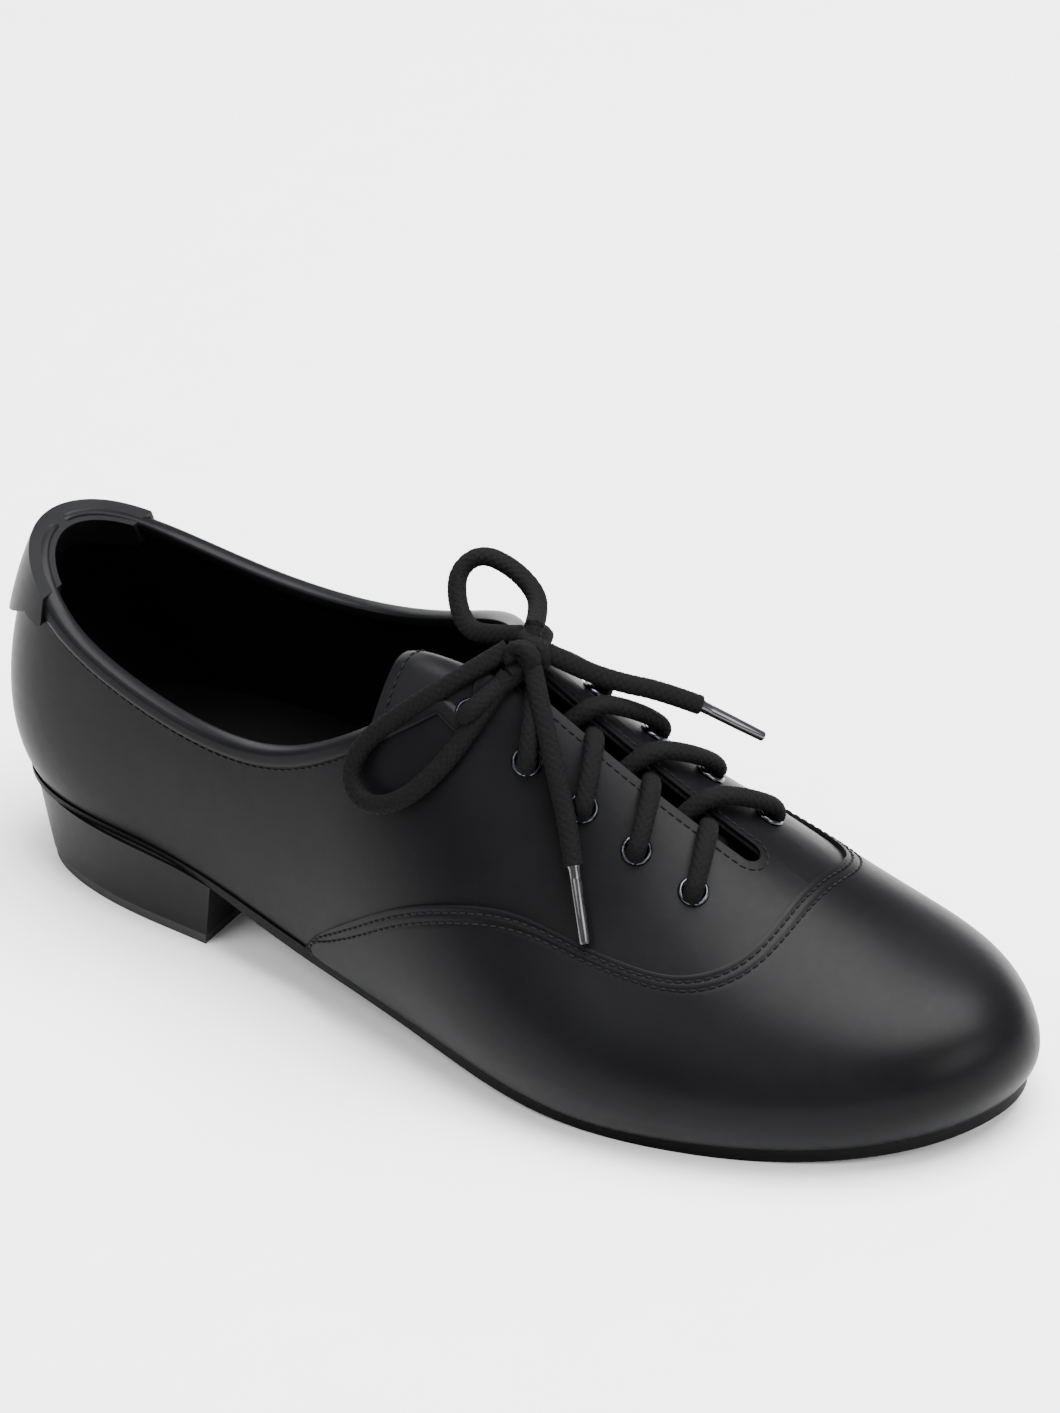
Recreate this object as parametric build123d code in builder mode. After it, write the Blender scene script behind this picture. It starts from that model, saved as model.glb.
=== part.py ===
from build123d import *
import os
from math import pi, radians, tan

import numpy as np
from scipy.interpolate import CubicSpline

# Lace-up dress shoe, right foot, with closed lacing and a low covered heel.
# Frame: +X to the toe, +Y to the inner side of the foot, +Z up. The origin is on the ground under
# the middle of the shoe. Lengths are in millimetres.

# overall sizes
shoe_length = 290.0
centre_y = 6.5  # from the last's heel-to-toe line to the middle of the shoe's width
heel_height = 25.2  # ground to the underside of the upper at the heel
toe_spring = 5.2  # how much higher than the ball the toe tip stands

# leather and lining
upper_leather = 1.1
stiffener = 0.8
lining = 0.8
binding_width = 3.4
binding_leather = 1.0
tab_leather = 1.0
underlay = 8.0  # how far the quarters run under the vamp's edge
lasting_margin = 13.0  # upper leather turned in under the insole board

# bottom
insole_thickness = 2.0
sock_thickness = 1.0
tread_thickness = 3.4  # outsole from the waist on
seat_thickness = 1.6  # outsole where the heel is fixed
sole_set_in = 0.6
heel_cover_leather = 1.0
top_piece = 3.2
heel_taper = 2.6  # set-in of the heel's side from seat to ground
shank_size = (96.0, 13.0, 0.9)
nail_radius = 1.1
nail_bite = 11.0

# lacing
slit_width = 5.6
eyelet_arc = 17.7  # from the middle of the slit to an eyelet, along the leather
eyelet_places = (72.7, 67.6, 62.8, 57.8, 52.6)  # percent of the length from the heel
eyelet_hole = 2.6  # radius
eyelet_wall = 0.3
eyelet_flange = 3.9  # radius
eyelet_lip = 0.6
lace_radius = 2.0
aglet_radius = 1.5
tongue_leather = 1.3
tongue_lining_cloth = 0.7
cement = 0.05

# The last, in eleven cross-sections from heel to toe. Heights are above the last's bottom line.
outer_width = [0, 20.5, 30.5, 34, 41.5, 49.5, 58, 53.5, 40, 21.5, 0]
inner_width = [0, 18.5, 30, 35.5, 39, 42, 45, 41, 32, 15, 0]
ridge_height = [20.7, 57, 88, 105.5, 116, 97.6, 70, 46.5, 33.3, 24.4, 11.2]
widest_height = [20.7, 21, 20, 16.5, 22, 22, 16.6, 14.5, 11.8, 10.9, 11.2]
lowest_height = [20.7, -6.6, -16, -22.6, -24, -18.4, -15, -14, -10.2, -2.1, 11.2]
narrowing = [0.1, 0.18, 0.19, 0.15, 0.24, 0.41, 0.37, 0.26, 0.14, 0.06, 0.05]
squareness = [0, 0.06, 0.12, 0.18, 0.17, 0.09, 0.11, 0.1, 0.13, 0.07, 0]
ridge_shift = [0, 0, 0, 0, 6, -9, -5, -2.5, -2.5, -2.5, 0]
arch = [(0, 1.05), (10.5, 1.0), (21.5, 0.94), (34.5, 0.64), (48, 0.33), (60, 0.1), (70, 0.012)]
forepart = [(76, 0.0), (83, 0.08), (91, 0.45), (100, 1.0)]

angle_count = 28
section_count = 19
block = 90.0  # half the width of the blocks that cut in side view
tall = 160.0


def along(percent):
    """X at a share of the length, counted from the heel"""
    return shoe_length * (percent / 100 - 0.5)


def from_heel(x, y, z):
    """a point given from the back of the heel and the last's own middle line"""
    return (x - shoe_length / 2, y + centre_y, z)


def natural(places, values):
    return CubicSpline(places, values, bc_type="natural")


shares = np.linspace(0, 1, len(outer_width))
outer_at, inner_at, ridge_at, widest_at, lowest_at, narrow_at, square_at, shift_at = (
    natural(shares, row)
    for row in (outer_width, inner_width, ridge_height, widest_height, lowest_height,
                narrowing, squareness, ridge_shift)
)
bottom_places = [along(p) for p, _ in arch + forepart]
bottom_heights = [tread_thickness + (heel_height - tread_thickness) * rise for _, rise in arch]
bottom_heights += [tread_thickness + toe_spring * rise for _, rise in forepart]
bottom_curve = natural(bottom_places, bottom_heights)
ends = (along(0), along(100))


def bottom(x):
    """height of the last's bottom line, carried on straight past both ends"""
    inside = np.clip(x, *ends)
    return bottom_curve(inside) + bottom_curve(inside, 1) * (x - inside)


def last_point(share, angle):
    """point on the last's surface: share runs from heel to toe, angle goes round the section"""
    side, up = np.cos(angle), np.sin(angle)
    outer, inner = outer_at(share), inner_at(share)
    spread = (outer + inner) / 2 * side * (1 + square_at(share) * up * up)
    y = (spread + (inner - outer) / 2 * side * side) * (1 - narrow_at(share) * up * (1 + up) / 2)
    y = y + shift_at(share) * ((1 + up) / 2) ** 2 + centre_y
    above = ridge_at(share) - widest_at(share)
    below = widest_at(share) - lowest_at(share)
    x = -shoe_length / 2 * np.cos(pi * share)
    z = bottom(x) + widest_at(share) + (above + below) / 2 * up + (above - below) / 2 * up * up
    return np.stack(np.broadcast_arrays(x, y, z), axis=-1)


def last_normal(share, angle):
    step = 1e-4
    share = np.clip(share, 2 * step, 1 - 2 * step)
    forward = last_point(share + step, angle) - last_point(share - step, angle)
    around = last_point(share, angle + step) - last_point(share, angle - step)
    normal = np.cross(around, forward)
    return normal / np.linalg.norm(normal, axis=-1, keepdims=True)


def section_points(x, depth, angles):
    """points of the last, inset by depth, where it crosses the plane at x"""
    low, high = np.zeros(len(angles)), np.ones(len(angles))
    for _ in range(36):
        share = (low + high) / 2
        short = (last_point(share, angles) - depth * last_normal(share, angles))[:, 0] < x
        low, high = np.where(short, share, low), np.where(short, high, share)
    return last_point(share, angles) - depth * last_normal(share, angles), last_normal(share, angles)


all_round = np.linspace(0, 2 * pi, angle_count, endpoint=False)


def last_body(depth):
    """the last, smaller by depth all round"""
    reach = shoe_length / 2 - depth - 0.3
    knots = [k / angle_count for k in range(angle_count + 1)]
    with BuildPart() as body:
        for x in [-reach * np.cos(pi * k / (section_count - 1)) for k in range(section_count)]:
            points, _ = section_points(x, depth, all_round)
            with BuildSketch(Plane.YZ.offset(x)):
                with BuildLine():
                    rounds = [(float(p[1]), float(p[2])) for p in points]
                    add(Edge.make_spline(rounds, periodic=True, parameters=knots))
                make_face()
        loft()
    return body.part


def side_block(curve, corners):
    """block across the shoe, bounded in side view by a spline and by straight lines"""
    with BuildPart() as cutter:
        with BuildSketch(Plane.XZ):
            with BuildLine():
                Spline(*curve)
                Polyline(curve[-1], *corners, curve[0])
            make_face()
        extrude(amount=block, both=True)
    return cutter.part


def below(height):
    """all that lies under the last's bottom line raised by height"""
    places = np.linspace(ends[0] - 12, ends[1] + 12, 17)
    curve = [(float(x), float(bottom(x) + height)) for x in places]
    return side_block(curve, [(curve[-1][0], -40), (curve[0][0], -40)])


# depths below the vamp's outer face
vamp_face = 0.0
quarter_face = upper_leather
quarter_back = 2 * upper_leather
stiffener_back = quarter_back + stiffener
lining_back = stiffener_back + lining
binding_back = lining_back + binding_leather
tab_back = binding_back + tab_leather

last_at = {
    depth: last_body(depth)
    for depth in (-tab_leather, vamp_face, quarter_face, quarter_back, stiffener_back,
                  lining_back, binding_back, tab_back)
}
margin_top = upper_leather
insole_top = margin_top + insole_thickness
sock_top = insole_top + sock_thickness
below_at = {height: below(height) for height in (0.0, margin_top, insole_top, sock_top)}


def layer(outer, inner, outer_floor, inner_floor):
    """a skin between two depths, open or closed below by where its floors are"""
    return (last_at[outer] - below_at[outer_floor]) - (last_at[inner] - below_at[inner_floor])


# ---- outlines in side view ----
topline_rise = [(0, 64.5), (2, 63.3), (8.6, 54.5), (17.2, 45.2), (25.9, 42), (34.5, 49),
                (43.1, 66.2), (51.7, 86.4), (57, 98)]
seam_rise = [(36.5, -8), (38.4, 4), (43.9, 20.7), (50.1, 35.3), (55.3, 42.7), (60.1, 45.6),
             (65.6, 43.2), (71.1, 40), (74.3, 38.9), (77.1, 39.8), (78.7, 42), (79.3, 45.5)]


def risen(table):
    """side-view points from places along the shoe and heights above the bottom line"""
    return [(along(p), float(bottom(along(p)) + rise)) for p, rise in table]


topline_curve = natural(*zip(*risen(topline_rise)))


def above_topline(drop):
    """all that lies above the topline lowered by drop"""
    places = np.linspace(along(-2), along(57), 15)
    curve = [(float(x), float(topline_curve(x) - drop)) for x in places]
    return side_block(curve, [(curve[-1][0], tall), (curve[0][0], tall)])


def beyond_seam(reach):
    """all that lies on the toe side of the vamp's edge moved forwards by reach"""
    points = np.array(risen(seam_rise))
    run = np.gradient(points, axis=0)
    outward = np.stack([run[:, 1], -run[:, 0]], axis=1) / np.linalg.norm(run, axis=1)[:, None]
    curve = [tuple(float(v) for v in p) for p in points + reach * outward]
    end = curve[-1][0]
    return side_block(curve, [(end, tall), (along(106), tall), (along(106), -40), (curve[0][0], -40)])


def side_plate(corners, radius):
    """block across the shoe with a straight-sided side view and rounded corners"""
    with BuildPart() as cutter:
        with BuildSketch(Plane.XZ):
            with BuildLine():
                Polyline(*corners, close=True)
            face = make_face()
            fillet(face.vertices(), radius)
        extrude(amount=block, both=True)
    return cutter.part


# ---- the slit and its eyelets ----
slit_end = along(75.2)
slit_slope = 0.12
slit_end_y = centre_y - 4.0


def slit_middle(x):
    return slit_end_y + slit_slope * (x - slit_end)


with BuildPart() as slit_block:
    with BuildSketch(Plane.XY.offset(40)):
        with BuildLine():
            Line((along(44), slit_middle(along(44))), (slit_end - slit_width / 2, slit_middle(slit_end)))
        trace(line_width=slit_width)
        with Locations((slit_end - slit_width / 2, slit_middle(slit_end))):
            Circle(slit_width / 2)
    extrude(amount=tall)
slit = slit_block.part


def on_upper(percent, arc, depth):
    """point and outward normal at an arc's length from the slit's middle, plus to the inner side"""
    x = along(percent)
    angles = np.linspace(0, pi, 721)
    points, normals = section_points(x, depth, angles)
    lengths = np.concatenate([[0], np.cumsum(np.linalg.norm(np.diff(points, axis=0), axis=1))])
    middle = np.interp(-slit_middle(x), -points[:, 1], lengths)
    at = middle - arc
    point = [float(np.interp(at, lengths, points[:, k])) for k in range(3)]
    normal = [float(np.interp(at, lengths, normals[:, k])) for k in range(3)]
    return Vector(*point), Vector(*normal).normalized()


eyelet_planes = []
for percent in eyelet_places:
    for arc in (-eyelet_arc, eyelet_arc):
        spot, outward = on_upper(percent, arc, quarter_face)
        eyelet_planes.append(Plane(spot, z_dir=outward))

with BuildPart() as eyelet_drill:
    for plane in eyelet_planes:
        with BuildSketch(plane.offset(-12)):
            Circle(eyelet_hole + eyelet_wall)
        extrude(amount=20)
drills = eyelet_drill.part


# ---- plan outline of the bottom ----
def feather_line(count):
    """where the last meets its bottom line: points all the way round"""
    fine = np.linspace(0.02, 0.98, 800)
    lows = lowest_at(fine)
    first, final = fine[lows < 0][0] + 1e-3, fine[lows < 0][-1] - 1e-3
    spread = first + (final - first) * (1 - np.cos(np.linspace(0, pi, count))) / 2
    rounds = []
    for centre, shares_run in ((pi, spread), (0.0, spread[::-1][1:-1])):
        for share in shares_run:
            angles = centre + np.linspace(-pi / 2, pi / 2, 721) * (1 if centre == 0 else -1)
            points = last_point(np.full(721, share), angles)
            row = points[:, 2] - bottom(points[:, 0])
            k = int(np.argmax(row > 0))
            rounds.append((float(points[k, 0]), float(points[k, 1])))
    return rounds


feather = feather_line(15)


def plan_points(set_in):
    """the feather line moved inwards in plan"""
    points = np.array(feather)
    run = np.roll(points, -1, axis=0) - np.roll(points, 1, axis=0)
    inward = np.stack([-run[:, 1], run[:, 0]], axis=1) / np.linalg.norm(run, axis=1)[:, None]
    return [(float(p[0]), float(p[1])) for p in points + set_in * inward]


def plan_block(set_in, low, high):
    """upright block with the bottom's plan outline, set in all round"""
    with BuildPart() as upright:
        with BuildSketch(Plane.XY.offset(low)):
            with BuildLine():
                Spline(*plan_points(set_in), periodic=True)
            make_face()
        extrude(amount=high - low)
    return upright.part


margin_opening = plan_block(lasting_margin, -10, 60) & below(2 * margin_top)

# ---- upper, outside ----
vamp_area = beyond_seam(0)
quarter_limit = beyond_seam(underlay)
over_leather = above_topline(binding_leather)
over_binding = above_topline(0)
under_binding = above_topline(binding_width)

with BuildPart() as vamp:
    add(layer(vamp_face, quarter_face, 0.0, margin_top))
    add(vamp_area, mode=Mode.INTERSECT)
    add(margin_opening, mode=Mode.SUBTRACT)
vamp.part.label = "vamp"

# the two quarters meet in a closed seam down the back of the heel
outer_half = Pos(0, centre_y - block / 2, tall / 2) * Box(2 * shoe_length, block, 3 * tall)
rear_leather = layer(quarter_face, quarter_back, 0.0, margin_top) - quarter_limit - over_leather
rear_leather = rear_leather - margin_opening - slit - drills - vamp.part

with BuildPart() as quarter_outer:
    add(rear_leather)
    add(outer_half, mode=Mode.INTERSECT)
quarter_outer.part.label = "quarter_outer"

with BuildPart() as quarter_inner:
    add(rear_leather)
    add(outer_half, mode=Mode.SUBTRACT)
quarter_inner.part.label = "quarter_inner"

# rolled edge strip: a channel that holds the topline's layers of leather
with BuildPart() as collar_binding:
    add(layer(vamp_face, binding_back, 0.0, 0.0))
    add(under_binding, mode=Mode.INTERSECT)
    add(over_binding, mode=Mode.SUBTRACT)
    add(layer(quarter_face, lining_back, 0.0, 0.0) - over_leather, mode=Mode.SUBTRACT)
    add(slit, mode=Mode.SUBTRACT)
collar_binding.part.label = "collar_binding"

# strap folded over the collar at the heel
tab_front = along(8.3)
with BuildPart() as heel_tab:
    add(layer(-tab_leather, quarter_face, 0.0, 0.0))
    add(side_plate([(along(-6), 68), (along(1.5), 68), (along(6.6), 76.5), (tab_front, 83),
                    (tab_front, 110), (along(-6), 110)], 1.2), mode=Mode.INTERSECT)
    add(layer(-tab_leather, tab_back, 0.0, 0.0)
        & side_plate([(along(-6), 78), (tab_front, 74), (tab_front, 110), (along(-6), 110)], 1.2)
        & above_topline(9.0) - (last_at[quarter_face] - last_at[lining_back] - over_leather))
    add(above_topline(-tab_leather), mode=Mode.SUBTRACT)
    add(layer(vamp_face, binding_back, 0.0, 0.0) & under_binding - over_binding, mode=Mode.SUBTRACT)
heel_tab.part.label = "heel_tab"

# ---- upper, inside ----
with BuildPart() as vamp_backing:
    add(layer(quarter_face, quarter_back, margin_top, margin_top))
    add(quarter_limit, mode=Mode.INTERSECT)
vamp_backing.part.label = "vamp_backing"

counter_area = side_plate([(along(-6), -30), (along(27), -30), (along(27), 34), (along(20), 58),
                           (along(-6), 62)], 4)
puff_area = side_plate([(along(86), -30), (along(106), -30), (along(106), 80), (along(88), 80)], 3)
stay_area = side_plate([(along(47), 70), (along(76), 41), (along(79), 50), (along(79), 110),
                        (along(44), 130)], 2)
middle_skin = layer(quarter_back, stiffener_back, margin_top, margin_top) - over_leather - slit

with BuildPart() as heel_counter:
    add(middle_skin)
    add(counter_area, mode=Mode.INTERSECT)
heel_counter.part.label = "heel_counter"

with BuildPart() as toe_puff:
    add(middle_skin)
    add(puff_area, mode=Mode.INTERSECT)
toe_puff.part.label = "toe_puff"

with BuildPart() as facing_stays:
    add(middle_skin)
    add(stay_area, mode=Mode.INTERSECT)
    add(drills, mode=Mode.SUBTRACT)
facing_stays.part.label = "facing_stays"

with BuildPart() as interlining:
    add(middle_skin)
    for area in (counter_area, puff_area, stay_area):
        add(area, mode=Mode.SUBTRACT)
interlining.part.label = "interlining"

lining_skin = layer(stiffener_back, lining_back, margin_top, margin_top) - over_leather
lining_joint = beyond_seam(underlay / 2)

with BuildPart() as vamp_lining:
    add(lining_skin)
    add(lining_joint, mode=Mode.INTERSECT)
vamp_lining.part.label = "vamp_lining"

rear_lining = lining_skin - lining_joint - slit - drills
with BuildPart() as quarter_lining_outer:
    add(rear_lining)
    add(outer_half, mode=Mode.INTERSECT)
quarter_lining_outer.part.label = "quarter_lining_outer"

with BuildPart() as quarter_lining_inner:
    add(rear_lining)
    add(outer_half, mode=Mode.SUBTRACT)
quarter_lining_inner.part.label = "quarter_lining_inner"


# ---- bottom ----
def slab(lower, upper):
    return below_at[upper] - below_at[lower]


def seat_line(count):
    """underside of the outsole in side view: thin at the heel seat, full from the waist on"""
    places = np.linspace(ends[0] - 12, ends[1] + 12, count)
    thickness = np.interp(places, [along(22), along(34)], [seat_thickness, tread_thickness])
    return [(float(x), float(bottom(x) - t)) for x, t in zip(places, thickness)]


under_sole = side_block(seat_line(25), [(ends[1] + 12, -40), (ends[0] - 12, -40)])

nail_spots = [(along(x), centre_y + y) for x, y in ((8, 0), (11, -11), (11, 11), (17, -12), (17, 12))]
nail_top = {spot: float(bottom(spot[0])) + insole_top for spot in nail_spots}
with BuildPart() as heel_nails:
    for spot in nail_spots:
        with BuildSketch(Plane.XY.offset(nail_top[spot])):
            with Locations(spot):
                Circle(nail_radius)
        extrude(amount=-(nail_top[spot] - heel_height + seat_thickness + nail_bite))
heel_nails.part.label = "heel_nails"

with BuildPart() as insole_board:
    add(last_at[lining_back])
    add(slab(margin_top, insole_top), mode=Mode.INTERSECT)
    add(heel_nails.part, mode=Mode.SUBTRACT)
insole_board.part.label = "insole_board"

with BuildPart() as sock_lining:
    add(last_at[lining_back])
    add(slab(insole_top, sock_top), mode=Mode.INTERSECT)
    add(heel_nails.part, mode=Mode.SUBTRACT)
sock_lining.part.label = "sock_lining"

with BuildPart() as shank:
    with BuildSketch(Plane.XY.offset(-10)):
        with Locations((along(33), centre_y - 2)):
            SlotOverall(shank_size[0], shank_size[1])
    extrude(amount=60)
    add(below(shank_size[2]) - below_at[0.0], mode=Mode.INTERSECT)
    add(heel_nails.part, mode=Mode.SUBTRACT)
shank.part.label = "shank"

with BuildPart() as bottom_filler:
    add(margin_opening)
    add(slab(0.0, margin_top), mode=Mode.INTERSECT)
    add(shank.part, mode=Mode.SUBTRACT)
    add(heel_nails.part, mode=Mode.SUBTRACT)
bottom_filler.part.label = "bottom_filler"

with BuildPart() as outsole:
    add(plan_block(sole_set_in, -10, 60))
    add(below_at[0.0], mode=Mode.INTERSECT)
    add(under_sole, mode=Mode.SUBTRACT)
    add(heel_nails.part, mode=Mode.SUBTRACT)
outsole.part.label = "outsole"

# heel: outline at the seat and at the ground, each a rounded back and a straight breast
seat_outline = [(78, -36.0), (54, -34.2), (28, -28.6), (12, -18.5), (5.5, 0), (12, 18.5), (28, 28.2),
                (54, 34.4), (78, 37.0)]
breast_slope = 6.0  # how much further forward the breast stands at the seat than at the ground
seat_level = heel_height


def heel_level(height, set_in):
    """heel outline at a height above the ground, set in from its leather's face"""
    up = height / seat_level
    breast = 78 - breast_slope * (1 - up) - set_in
    middle = 40.0
    rounds = []
    for x, y in seat_outline:
        shrink = heel_taper * (1 - up) + set_in
        run = np.hypot(x - middle, y) if x < middle else abs(y)
        px = middle + (x - middle) * (1 - shrink / run) if x < middle else x
        py = y * (1 - shrink / run)
        rounds.append((min(px, breast) if x < 78 else breast, py))
    return [from_heel(x, y, 0)[:2] for x, y in rounds]


def heel_body(set_in, low, high):
    with BuildPart() as body:
        for height in (low, high):
            rounds = heel_level(height, set_in)
            with BuildSketch(Plane.XY.offset(height)):
                with BuildLine():
                    Spline(*rounds)
                    Line(rounds[-1], rounds[0])
                make_face()
        loft()
    return body.part


heel_reach = seat_level + 8
with BuildPart() as heel_block:
    add(heel_body(heel_cover_leather, top_piece, heel_reach))
    add(under_sole, mode=Mode.INTERSECT)
    add(heel_nails.part, mode=Mode.SUBTRACT)
heel_block.part.label = "heel_block"

with BuildPart() as heel_cover:
    add(heel_body(0, top_piece, heel_reach))
    add(under_sole, mode=Mode.INTERSECT)
    add(heel_body(heel_cover_leather, top_piece, heel_reach), mode=Mode.SUBTRACT)
heel_cover.part.label = "heel_cover"

with BuildPart() as heel_top_piece:
    add(heel_body(0.2, 0, top_piece))
heel_top_piece.part.label = "heel_top_piece"

# ---- tongue ----
tongue_stations = (43, 47, 51, 55, 60, 65, 70, 73, 75, 77, 79)
tongue_half_width = (20.0, 22.5, 23.5, 24, 24, 23, 21, 20, 19, 18, 17)
lace_room = 2 * lace_radius + 1.0
tongue_depth = [lining_back + gap for gap in [lace_room] * 7 + [lace_room + 0.2, 3.4, 1.3, 0.3]]
flat_from = 55  # percent of the length: behind it the tongue flattens instead of climbing on
tongue_rise = {43: 5.0, 47: 4.7, 51: 2.8}


def tongue_strip(outer, inner):
    """bent strip along the instep between two depths below the tongue's face"""
    with BuildPart() as strip:
        for percent, half_width, depth in zip(tongue_stations, tongue_half_width, tongue_depth):
            base = max(percent, flat_from)
            lift = tongue_rise.get(percent, 0.0)
            edges = []
            for extra in (outer, inner):
                row = [on_upper(base, half_width * k / 4, depth + extra)[0] for k in range(-4, 5)]
                edges.append([(p.Y + slit_middle(along(percent)) - slit_middle(along(base)), p.Z + lift)
                              for p in row])
            with BuildSketch(Plane.YZ.offset(along(percent))):
                with BuildLine():
                    Spline(*edges[0])
                    Line(edges[0][-1], edges[1][-1])
                    Spline(*reversed(edges[1]))
                    Line(edges[1][0], edges[0][0])
                make_face()
        loft()
    return strip.part


with BuildPart() as tongue:
    add(tongue_strip(0, tongue_leather))
tongue.part.label = "tongue"

with BuildPart() as tongue_lining:
    add(tongue_strip(tongue_leather + cement, tongue_leather + cement + tongue_lining_cloth))
tongue_lining.part.label = "tongue_lining"

# ---- eyelets ----
eyelet_depth = lining_back - quarter_face
with BuildPart() as eyelets:
    for plane in eyelet_planes:
        with BuildSketch(plane.offset(-eyelet_depth)):
            Circle(eyelet_hole + eyelet_wall)
            Circle(eyelet_hole, mode=Mode.SUBTRACT)
        extrude(amount=eyelet_depth + eyelet_lip)
        with BuildSketch(plane.offset(0.12)):
            Circle(eyelet_flange)
            Circle(eyelet_hole, mode=Mode.SUBTRACT)
        extrude(amount=eyelet_lip - 0.12)
eyelets.part.label = "eyelets"


# ---- lace ----
def tube(points, radius):
    """round cord along straight runs joined by arcs as large as the runs allow"""
    route = [Vector(*p) for p in points]
    runs = [b - a for a, b in zip(route, route[1:])]
    radii = []
    for before, after in zip(runs, runs[1:]):
        turn = radians(before.get_angle(after))
        radii.append(0.45 * min(before.length, after.length) / tan(turn / 2))
    with BuildPart() as cord:
        with BuildLine() as path:
            FilletPolyline(*route, radius=radii)
        line = path.wires()[0]
        with BuildSketch(Plane(line @ 0, z_dir=line % 0)):
            Circle(radius)
        sweep(path=line)
    print("cord of", round(line.length, 1), "mm")
    return cord.part


lace_over, lace_under = 3.2, 5.3  # lace's middle above and below the leather's face
crossing_shift = 2.2
half_slit = slit_width / 2 + 2.2


def lace_spot(percent, arc, height):
    spot, outward = on_upper(percent, arc, quarter_face)
    return tuple(spot + outward * height)


def lace_half(side):
    """half of the lacing, from the middle of its hidden first bar to the top pair of eyelets"""
    shift = 100 * crossing_shift / shoe_length
    route = [lace_spot(eyelet_places[0] - 0.3, 0.05 * side, -lace_under - 0.6),
             lace_spot(eyelet_places[0], side * eyelet_arc, -lace_under)]
    for low, high in zip(eyelet_places, eyelet_places[1:]):
        middle = (low + high) / 2 - side * shift
        route.append(lace_spot(low, side * eyelet_arc, lace_over))
        route.append(lace_spot(middle + 0.5, side * half_slit, lace_over))
        side = -side
        route.append(lace_spot(middle - 0.5, side * half_slit, -lace_under))
        route.append(lace_spot(high, side * eyelet_arc, -lace_under))
    route.append(lace_spot(eyelet_places[-1], side * eyelet_arc, lace_over))
    route.append(from_heel(160.5, -12 + 1.5 * (1 if side > 0 else -1), 97.5))
    return route


knot_spot = from_heel(161, -12, 100.5)
with BuildPart() as lace_knot:
    with BuildSketch(Plane(knot_spot, x_dir=(1, 0, 0), z_dir=(0.2, 1, -0.25))):
        Circle(4.4)
    extrude(amount=5.5, both=True)
    fillet(lace_knot.edges(), 2.6)
lace_knot.part.label = "lace_knot"

near_loop = [from_heel(*p) for p in (
    (156.5, -13.5, 101.5), (149, -22, 96.5), (138, -30, 88.5), (127.5, -36, 79), (125.5, -40, 70.5),
    (131.5, -42.5, 66), (141, -42, 69), (149.5, -36, 77.5), (155, -27, 88), (158.5, -17, 97))]
far_loop = [from_heel(*p) for p in (
    (157, -9, 103), (149, -9, 100.5), (140.5, -7, 98), (134, -2, 101), (130.5, 4, 106), (134.5, 9, 109.5),
    (143, 10, 107), (151, 7.5, 103.5), (155.5, 1, 102.5), (159, -6, 104))]
near_end = [from_heel(*p) for p in (
    (163.5, -14, 98.5), (169, -19.5, 91.5), (176.5, -26, 80), (182.5, -31, 69.5), (186.5, -35.5, 62))]
far_end = [from_heel(*p) for p in (
    (164, -8.5, 100), (170, -3, 93.5), (177, 3, 88.5), (184, 9, 85), (191, 15, 79.5))]
near_tip = from_heel(194.5, -44.5, 47.5)
far_tip = from_heel(203.5, 23, 69.5)

export_jobs = []
for label, route in (("lace_lacing_outer", lace_half(-1)), ("lace_lacing_inner", lace_half(1)),
                     ("lace_loop_near", near_loop), ("lace_loop_far", far_loop),
                     ("lace_end_near", near_end), ("lace_end_far", far_end)):
    laid = tube(route, lace_radius)
    with BuildPart() as cord:
        add(laid)
    cord.part.label = label
    export_jobs.append(cord)

for label, last_two, tip in (("aglet_near", near_end[-1], near_tip), ("aglet_far", far_end[-1], far_tip)):
    way = Vector(*tip) - Vector(*last_two)
    with BuildPart() as aglet:
        with BuildSketch(Plane(last_two, z_dir=way)):
            Circle(aglet_radius)
        extrude(amount=way.length)
    aglet.part.label = label
    export_jobs.append(aglet)

export_jobs += [vamp, quarter_outer, quarter_inner, collar_binding, heel_tab, vamp_backing,
                heel_counter, toe_puff, facing_stays, interlining, vamp_lining, quarter_lining_outer,
                quarter_lining_inner, heel_nails, insole_board, sock_lining, shank, bottom_filler,
                outsole, heel_block, heel_cover, heel_top_piece, tongue, tongue_lining, eyelets,
                lace_knot]
os.makedirs("parts", exist_ok=True)
for job in export_jobs:
    export_step(job.part, f"parts/{job.part.label}.step")
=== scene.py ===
import math

import bmesh
import bpy
import numpy as np
from mathutils import Matrix, Vector
from mathutils.bvhtree import BVHTree


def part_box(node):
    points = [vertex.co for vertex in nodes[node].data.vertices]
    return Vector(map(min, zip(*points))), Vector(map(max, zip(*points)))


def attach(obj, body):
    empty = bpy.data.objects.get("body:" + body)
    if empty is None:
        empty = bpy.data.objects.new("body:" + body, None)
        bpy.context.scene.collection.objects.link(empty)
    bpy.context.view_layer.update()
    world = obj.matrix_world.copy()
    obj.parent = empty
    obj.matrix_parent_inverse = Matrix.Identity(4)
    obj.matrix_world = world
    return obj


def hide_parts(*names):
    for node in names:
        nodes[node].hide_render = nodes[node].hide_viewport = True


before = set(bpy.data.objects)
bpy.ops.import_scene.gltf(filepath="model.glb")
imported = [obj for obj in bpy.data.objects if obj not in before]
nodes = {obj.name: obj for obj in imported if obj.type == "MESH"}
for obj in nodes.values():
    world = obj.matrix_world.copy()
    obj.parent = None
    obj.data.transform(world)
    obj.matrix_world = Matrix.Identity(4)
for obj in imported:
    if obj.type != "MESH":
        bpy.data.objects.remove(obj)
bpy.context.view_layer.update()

# Lace-up dress shoe. Metres, +X to the toe, +Z up, the ground at zero.
mm = 0.001
shoe = {"length": 290.0, "centreY": 6.5}
bpy.ops.object.select_all(action="DESELECT")


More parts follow.
